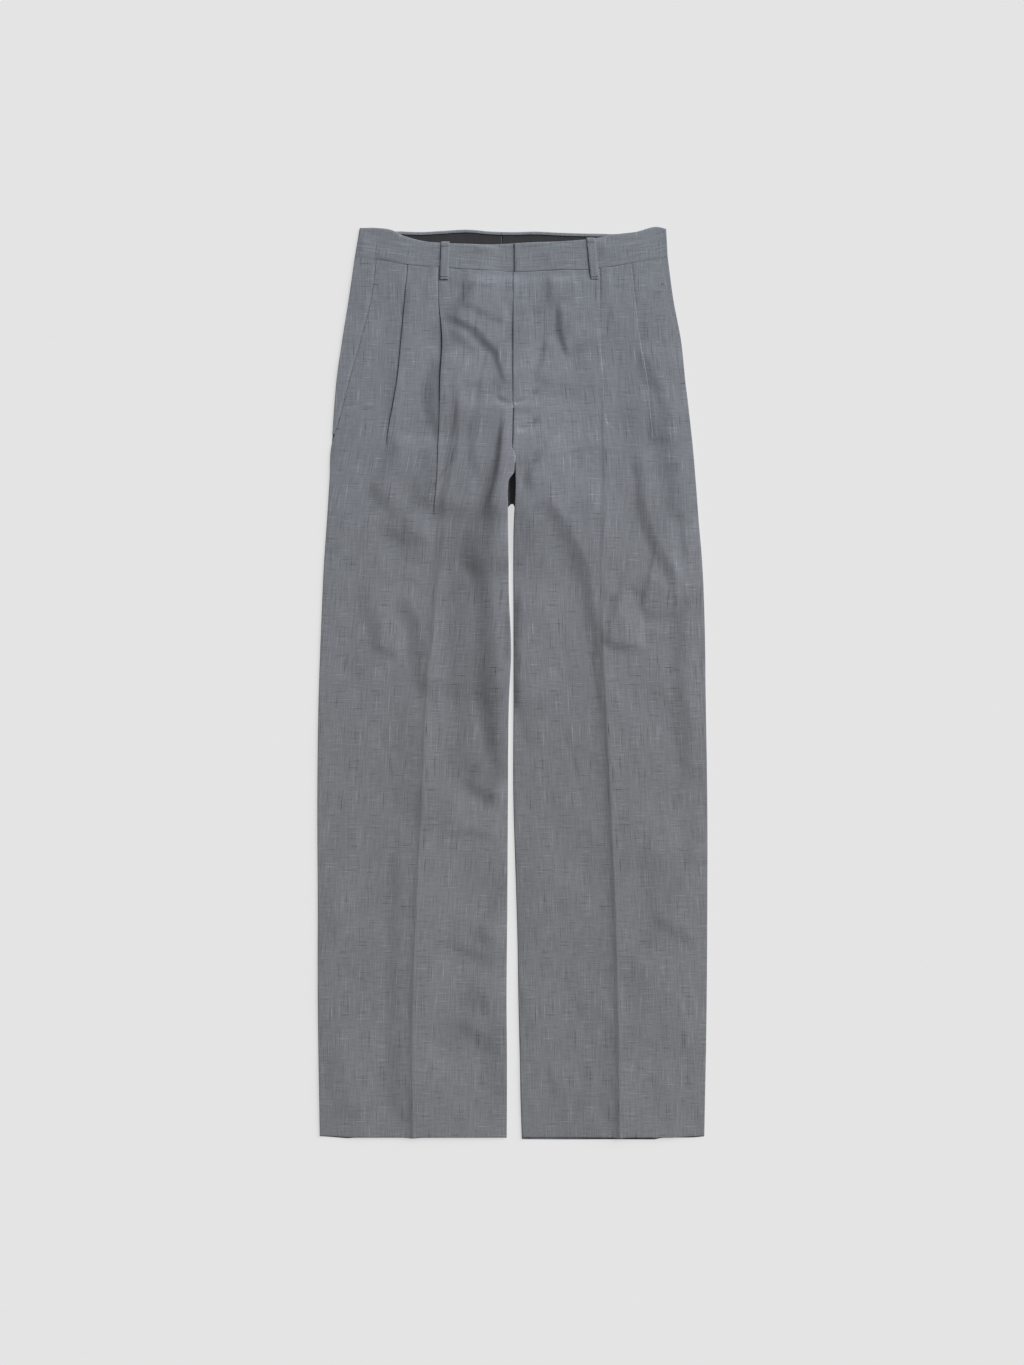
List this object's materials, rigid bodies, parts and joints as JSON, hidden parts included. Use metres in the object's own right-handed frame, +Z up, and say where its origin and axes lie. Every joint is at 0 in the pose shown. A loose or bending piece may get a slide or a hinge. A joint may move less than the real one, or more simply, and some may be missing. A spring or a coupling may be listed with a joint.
{
  "type": "pleated dress trousers",
  "caption": "Pleated dress trousers with pressed creases and slanted side pockets, laid out flat, face up, on a level surface.",
  "frame": {"origin": "centre of the footprint of the laid-out trousers, on the surface they lie on", "axes": "+Y from the hems toward the waist, +X toward the wearer's left side, +Z up from the surface, out of the front"},
  "size_m": [0.4802, 1.1219, 0.0087],
  "materials": {
    "suiting": "matt grey worsted suiting with a fine slub",
    "facing_twill": "matt charcoal waistband facing"
  },
  "bodies": {
    "root": {"back_panel_right": "suiting", "front_panel_right": "suiting", "pocket_facing_right": "suiting", "waistband_right": "suiting", "band_facing_right": "facing_twill", "belt_loop_right": "suiting", "back_panel_left": "suiting", "front_panel_left": "suiting", "pocket_facing_left": "suiting", "waistband_left": "suiting", "band_facing_left": "facing_twill", "belt_loop_left": "suiting", "fork_lining": "facing_twill"}
  },
  "joints": []
}
